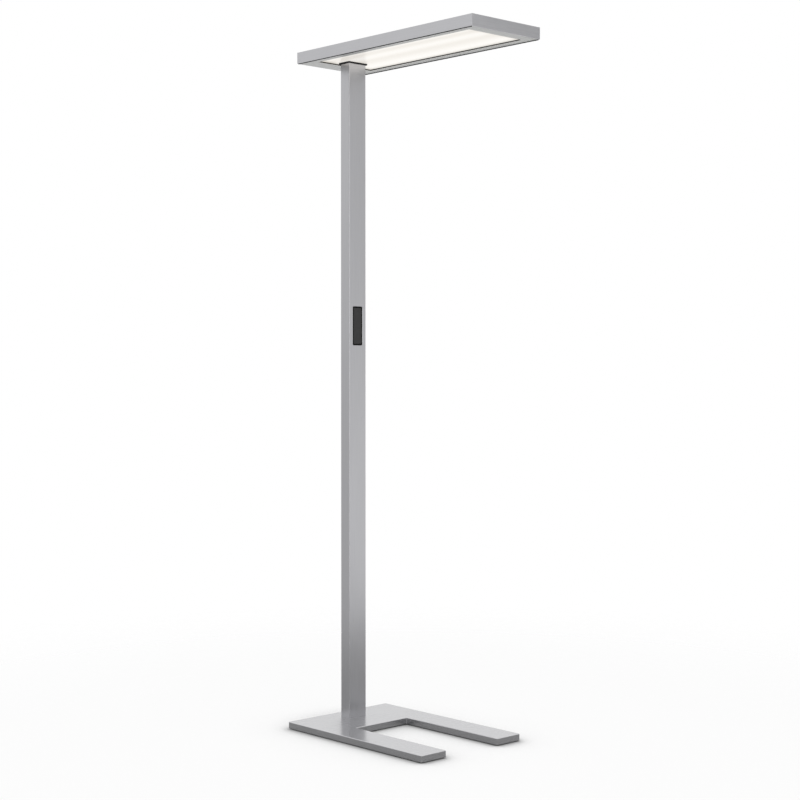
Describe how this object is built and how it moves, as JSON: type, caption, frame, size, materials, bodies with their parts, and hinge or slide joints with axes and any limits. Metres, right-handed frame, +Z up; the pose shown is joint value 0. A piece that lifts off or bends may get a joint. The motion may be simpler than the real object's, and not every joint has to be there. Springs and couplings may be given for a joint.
{
  "type": "office floor lamp",
  "caption": "Tall floor lamp with a fork-shaped steel foot, a slim rectangular column with a dimmer rocker, and a flat rectangular head that reaches forward and shines down and up.",
  "frame": {"origin": "on the floor under the middle of the head", "axes": "+X forward along the foot's prongs and the head, +Y to the lamp's left, +Z up along the column"},
  "size_m": [0.71, 0.378, 1.95],
  "materials": {
    "brushed_steel": "brushed along the prongs, satin",
    "glide_rubber": "matt black",
    "satin_aluminium": "satin anodised",
    "frame_aluminium": "satin anodised sheet",
    "block_aluminium": "as machined",
    "zinc_steel": "zinc plated",
    "inlet_plastic": "fine matt black",
    "blade_brass": "nickel plated",
    "bezel_plastic": "matt black",
    "rocker_plastic": "fine matt dark grey",
    "circuit_board": "white solder mask",
    "seal_rubber": "matt black",
    "opal_acrylic": "opal, lit from behind",
    "uplight_acrylic": "satin opal",
    "driver_case": "white",
    "terminal_plastic": "pale grey",
    "lead_jacket": "matt black"
  },
  "bodies": {
    "stand": {"base_bolts": "zinc_steel", "base_glides": "glide_rubber", "base_plate": "brushed_steel", "board_leads": "lead_jacket", "board_links": "lead_jacket", "board_screws": "zinc_steel", "bracket_screws": "zinc_steel", "column_collar": "seal_rubber", "column_foot": "block_aluminium", "column_profile": "satin_aluminium", "column_top_screws": "zinc_steel", "control_bezel": "bezel_plastic", "control_board": "circuit_board", "control_lead": "lead_jacket", "corner_key_front_left": "block_aluminium", "corner_key_front_right": "block_aluminium", "corner_key_rear_left": "block_aluminium", "corner_key_rear_right": "block_aluminium", "cover_screws": "zinc_steel", "diffuser_frame": "frame_aluminium", "diffuser_pane": "opal_acrylic", "down_board_left": "circuit_board", "down_board_middle": "circuit_board", "down_board_right": "circuit_board", "driver_lead": "lead_jacket", "driver_screws": "zinc_steel", "foot_screws": "zinc_steel", "front_rail": "satin_aluminium", "gear_tray": "zinc_steel", "head_bracket": "zinc_steel", "inlet_blades": "blade_brass", "inlet_screws": "zinc_steel", "led_driver": "driver_case", "left_rail": "satin_aluminium", "mains_inlet": "inlet_plastic", "mains_lead": "lead_jacket", "pane_seal_lower": "seal_rubber", "pane_seal_upper": "seal_rubber", "rear_rail": "satin_aluminium", "right_rail": "satin_aluminium", "rocker_pin": "zinc_steel", "switch_mat": "seal_rubber", "terminal_block": "terminal_plastic", "top_cover": "frame_aluminium", "tray_screws": "zinc_steel", "up_board_left": "circuit_board", "up_board_right": "circuit_board", "uplight_pane_left": "uplight_acrylic", "uplight_pane_right": "uplight_acrylic"},
    "rocker": {"dimmer_rocker": "rocker_plastic"}
  },
  "joints": [
    {"name": "rocker_tilt", "type": "hinge", "parent": "stand", "child": "rocker", "pos_m": [-0.243, 0, 1.1605], "axis": [0, 1, 0], "range_deg": [-2, 2], "stiffness_Nm_per_rad": 3}
  ]
}
